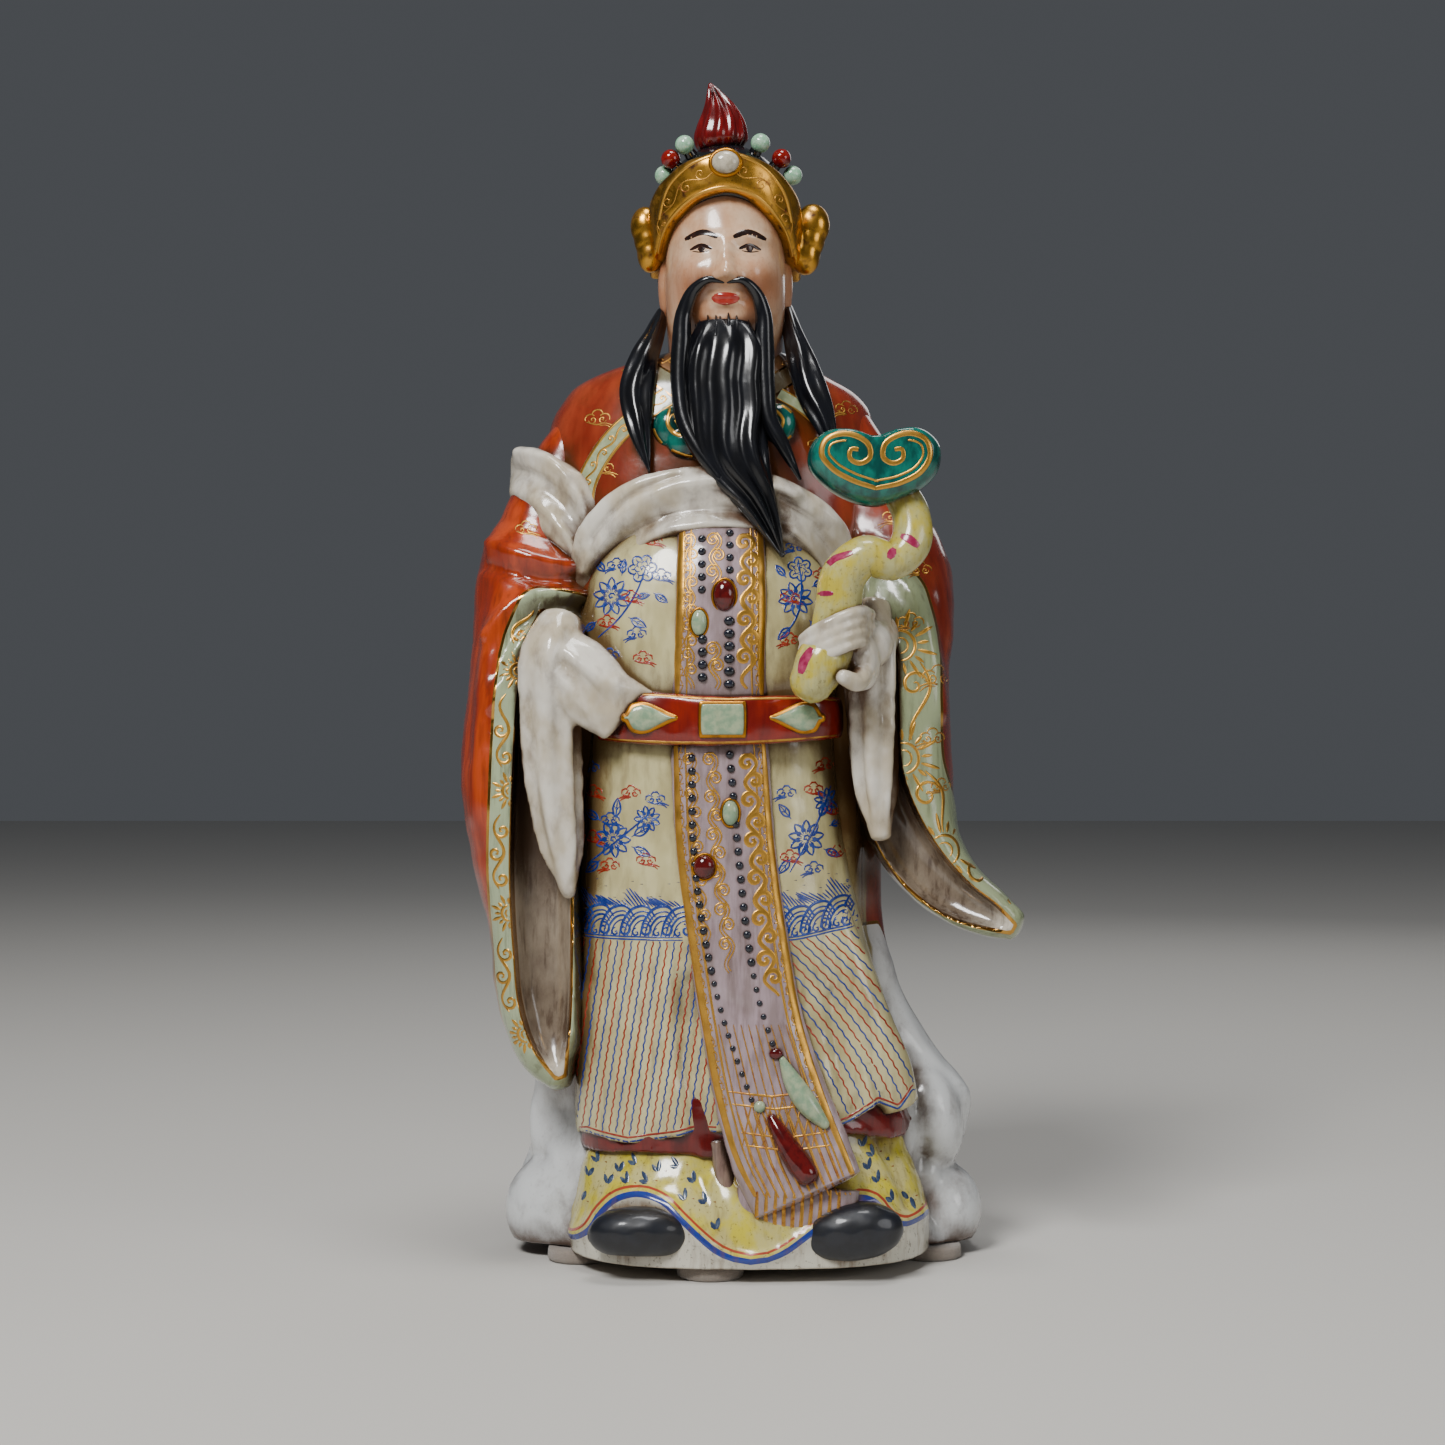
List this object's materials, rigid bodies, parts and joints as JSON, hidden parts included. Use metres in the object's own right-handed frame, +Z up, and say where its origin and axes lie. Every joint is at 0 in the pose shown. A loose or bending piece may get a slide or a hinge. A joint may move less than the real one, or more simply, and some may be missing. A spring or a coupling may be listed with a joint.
{
  "type": "lu xing figure",
  "caption": "Standing glazed porcelain figure of a robed court official with a long beard, winged cap and ruyi sceptre, on round felt pads.",
  "frame": {"origin": "on the floor plane under the felt pads, at the centre of the bounding box seen from above", "axes": "+Z up, the figure faces -Y, +X towards the figure's left hand, which holds the sceptre"},
  "size_m": [0.1886, 0.1196, 0.3999],
  "materials": {
    "glazed_porcelain": "overglaze enamels and gilding on white glazed porcelain, glossy, with brown wash in the recesses",
    "felt": "beige-grey pressed felt"
  },
  "bodies": {
    "root": {"figure": "glazed_porcelain", "pad_front": "felt", "pad_left": "felt", "pad_right": "felt", "pad_back": "felt"}
  },
  "joints": []
}
